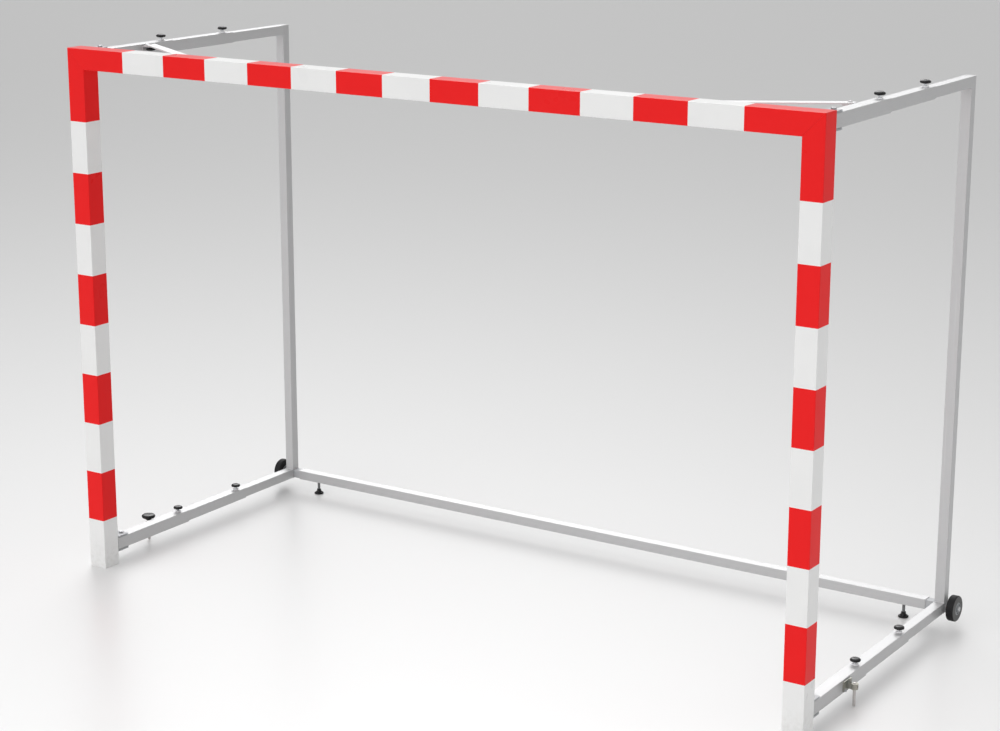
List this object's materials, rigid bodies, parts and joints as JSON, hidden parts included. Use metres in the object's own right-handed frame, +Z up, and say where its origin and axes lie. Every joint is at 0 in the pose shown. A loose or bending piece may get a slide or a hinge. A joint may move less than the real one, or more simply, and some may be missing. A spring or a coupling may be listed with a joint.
{
  "type": "handball goal",
  "caption": "Free-standing handball goal of square tube in red and white bands, with telescoping side rails, corner braces, a ground bar, transport wheels, screw feet and floor anchors",
  "frame": {"origin": "on the floor, under the middle of the overall box", "axes": "+X to the goal's right as seen from the playing field looking in, +Y from the mouth to the back of the goal, +Z up"},
  "size_m": [3.2368, 1.308, 2.09],
  "materials": {
    "coat": "smooth semi-gloss white powder coat, red and white bands on posts and crossbar",
    "rail_aluminium": "satin anodised",
    "zinc": "dull grey zinc plating",
    "yellow_zinc": "yellowish zinc plating, satin",
    "bright_steel": "turned bright steel",
    "black_plastic": "fine grained black plastic",
    "tyre": "plain black rubber",
    "grey_plastic": "moulded grey plastic"
  },
  "bodies": {
    "frame": {"post_left": "coat", "post_right": "coat", "crossbar": "coat", "corner_connector_left": "grey_plastic", "corner_connector_right": "grey_plastic", "hinge_bracket_top_left": "zinc", "hinge_bracket_top_right": "zinc", "hinge_bracket_bottom_left": "zinc", "hinge_bracket_bottom_right": "zinc", "hinge_bolt_top_left": "zinc", "hinge_bolt_top_right": "zinc", "hinge_bolt_bottom_left": "zinc", "hinge_bolt_bottom_right": "zinc", "rail_front_top_left": "rail_aluminium", "rail_front_top_right": "rail_aluminium", "rail_front_bottom_left": "rail_aluminium", "rail_front_bottom_right": "rail_aluminium", "brace_left": "rail_aluminium", "brace_right": "rail_aluminium", "brace_lug_left": "rail_aluminium", "brace_lug_right": "rail_aluminium", "brace_bolt_left": "zinc", "brace_bolt_right": "zinc", "anchor_bracket_left": "yellow_zinc", "anchor_bracket_right": "yellow_zinc"},
    "rear_frame": {"rail_rear_top_left": "rail_aluminium", "rail_rear_top_right": "rail_aluminium", "rail_rear_bottom_left": "rail_aluminium", "rail_rear_bottom_right": "rail_aluminium", "rear_upright_left": "rail_aluminium", "rear_upright_right": "rail_aluminium", "ground_bar_stub_left": "zinc", "ground_bar_stub_right": "zinc", "wheel_axle_left": "zinc", "wheel_axle_right": "zinc", "ground_bar": "rail_aluminium"},
    "middle_tube_top_left": {"rail_middle_top_left": "rail_aluminium"},
    "middle_tube_top_right": {"rail_middle_top_right": "rail_aluminium"},
    "middle_tube_bottom_left": {"rail_middle_bottom_left": "rail_aluminium"},
    "middle_tube_bottom_right": {"rail_middle_bottom_right": "rail_aluminium"},
    "wheel_left": {"tyre_left": "tyre", "hub_left": "grey_plastic"},
    "wheel_right": {"tyre_right": "tyre", "hub_right": "grey_plastic"},
    "foot_left": {"foot_left": "black_plastic"},
    "foot_right": {"foot_right": "black_plastic"},
    "anchor_left": {"anchor_rod_left": "bright_steel", "anchor_knob_left": "black_plastic"},
    "anchor_right": {"anchor_rod_right": "bright_steel"},
    "brace_knob_left": {"brace_knob_left": "black_plastic"},
    "brace_knob_right": {"brace_knob_right": "black_plastic"},
    "clamp_knob_front_top_left": {"clamp_knob_front_top_left": "black_plastic"},
    "clamp_knob_front_top_right": {"clamp_knob_front_top_right": "black_plastic"},
    "clamp_knob_front_bottom_left": {"clamp_knob_front_bottom_left": "black_plastic"},
    "clamp_knob_front_bottom_right": {"clamp_knob_front_bottom_right": "black_plastic"},
    "clamp_knob_middle_top_left": {"clamp_knob_middle_top_left": "black_plastic"},
    "clamp_knob_middle_top_right": {"clamp_knob_middle_top_right": "black_plastic"},
    "clamp_knob_middle_bottom_left": {"clamp_knob_middle_bottom_left": "black_plastic"},
    "clamp_knob_middle_bottom_right": {"clamp_knob_middle_bottom_right": "black_plastic"}
  },
  "joints": [
    {"name": "depth_slide", "type": "slide", "parent": "frame", "child": "rear_frame", "axis": [0, 1, 0], "range_m": [-0.58, 0]},
    {"name": "middle_slide_top_left", "type": "slide", "parent": "frame", "child": "middle_tube_top_left", "axis": [0, 1, 0], "range_m": [-0.29, 0]},
    {"name": "middle_slide_top_right", "type": "slide", "parent": "frame", "child": "middle_tube_top_right", "axis": [0, 1, 0], "range_m": [-0.29, 0]},
    {"name": "middle_slide_bottom_left", "type": "slide", "parent": "frame", "child": "middle_tube_bottom_left", "axis": [0, 1, 0], "range_m": [-0.29, 0]},
    {"name": "middle_slide_bottom_right", "type": "slide", "parent": "frame", "child": "middle_tube_bottom_right", "axis": [0, 1, 0], "range_m": [-0.29, 0]},
    {"name": "wheel_turn_left", "type": "hinge", "parent": "rear_frame", "child": "wheel_left", "pos_m": [-1.5915, 0.605, 0.076], "axis": [1, 0, 0], "continuous": true},
    {"name": "wheel_turn_right", "type": "hinge", "parent": "rear_frame", "child": "wheel_right", "pos_m": [1.5915, 0.605, 0.076], "axis": [1, 0, 0], "continuous": true},
    {"name": "foot_travel_left", "type": "slide", "parent": "rear_frame", "child": "foot_left", "axis": [0, 0, 1], "range_m": [-0.008, 0.022]},
    {"name": "foot_travel_right", "type": "slide", "parent": "rear_frame", "child": "foot_right", "axis": [0, 0, 1], "range_m": [-0.008, 0.022]},
    {"name": "anchor_travel_left", "type": "slide", "parent": "frame", "child": "anchor_left", "axis": [0, 0, 1], "range_m": [-0.008, 0.02]},
    {"name": "anchor_travel_right", "type": "slide", "parent": "frame", "child": "anchor_right", "axis": [0, 0, 1], "range_m": [-0.016, 0.02]},
    {"name": "brace_knob_turn_left", "type": "hinge", "parent": "frame", "child": "brace_knob_left", "pos_m": [-1.49, -0.282, 2.05], "axis": [0, 0, -1], "range_deg": [0, 720]},
    {"name": "brace_knob_turn_right", "type": "hinge", "parent": "frame", "child": "brace_knob_right", "pos_m": [1.49, -0.282, 2.05], "axis": [0, 0, -1], "range_deg": [0, 720]},
    {"name": "clamp_front_turn_top_left", "type": "hinge", "parent": "frame", "child": "clamp_knob_front_top_left", "pos_m": [-1.54, -0.164, 2.065], "axis": [0, 0, 1], "range_deg": [0, 720]},
    {"name": "clamp_front_turn_top_right", "type": "hinge", "parent": "frame", "child": "clamp_knob_front_top_right", "pos_m": [1.54, -0.164, 2.065], "axis": [0, 0, 1], "range_deg": [0, 720]},
    {"name": "clamp_front_turn_bottom_left", "type": "hinge", "parent": "frame", "child": "clamp_knob_front_bottom_left", "pos_m": [-1.54, -0.164, 0.1], "axis": [0, 0, 1], "range_deg": [0, 720]},
    {"name": "clamp_front_turn_bottom_right", "type": "hinge", "parent": "frame", "child": "clamp_knob_front_bottom_right", "pos_m": [1.54, -0.164, 0.1], "axis": [0, 0, 1], "range_deg": [0, 720]},
    {"name": "clamp_middle_turn_top_left", "type": "hinge", "parent": "middle_tube_top_left", "child": "clamp_knob_middle_top_left", "pos_m": [-1.54, 0.212, 2.0625], "axis": [0, 0, 1], "range_deg": [0, 720]},
    {"name": "clamp_middle_turn_top_right", "type": "hinge", "parent": "middle_tube_top_right", "child": "clamp_knob_middle_top_right", "pos_m": [1.54, 0.212, 2.0625], "axis": [0, 0, 1], "range_deg": [0, 720]},
    {"name": "clamp_middle_turn_bottom_left", "type": "hinge", "parent": "middle_tube_bottom_left", "child": "clamp_knob_middle_bottom_left", "pos_m": [-1.54, 0.212, 0.0975], "axis": [0, 0, 1], "range_deg": [0, 720]},
    {"name": "clamp_middle_turn_bottom_right", "type": "hinge", "parent": "middle_tube_bottom_right", "child": "clamp_knob_middle_bottom_right", "pos_m": [1.54, 0.212, 0.0975], "axis": [0, 0, 1], "range_deg": [0, 720]}
  ],
  "couplings": [
    {"joint": "middle_slide_top_left", "follows": "depth_slide", "ratio": 0.5},
    {"joint": "middle_slide_top_right", "follows": "depth_slide", "ratio": 0.5},
    {"joint": "middle_slide_bottom_left", "follows": "depth_slide", "ratio": 0.5},
    {"joint": "middle_slide_bottom_right", "follows": "depth_slide", "ratio": 0.5}
  ]
}
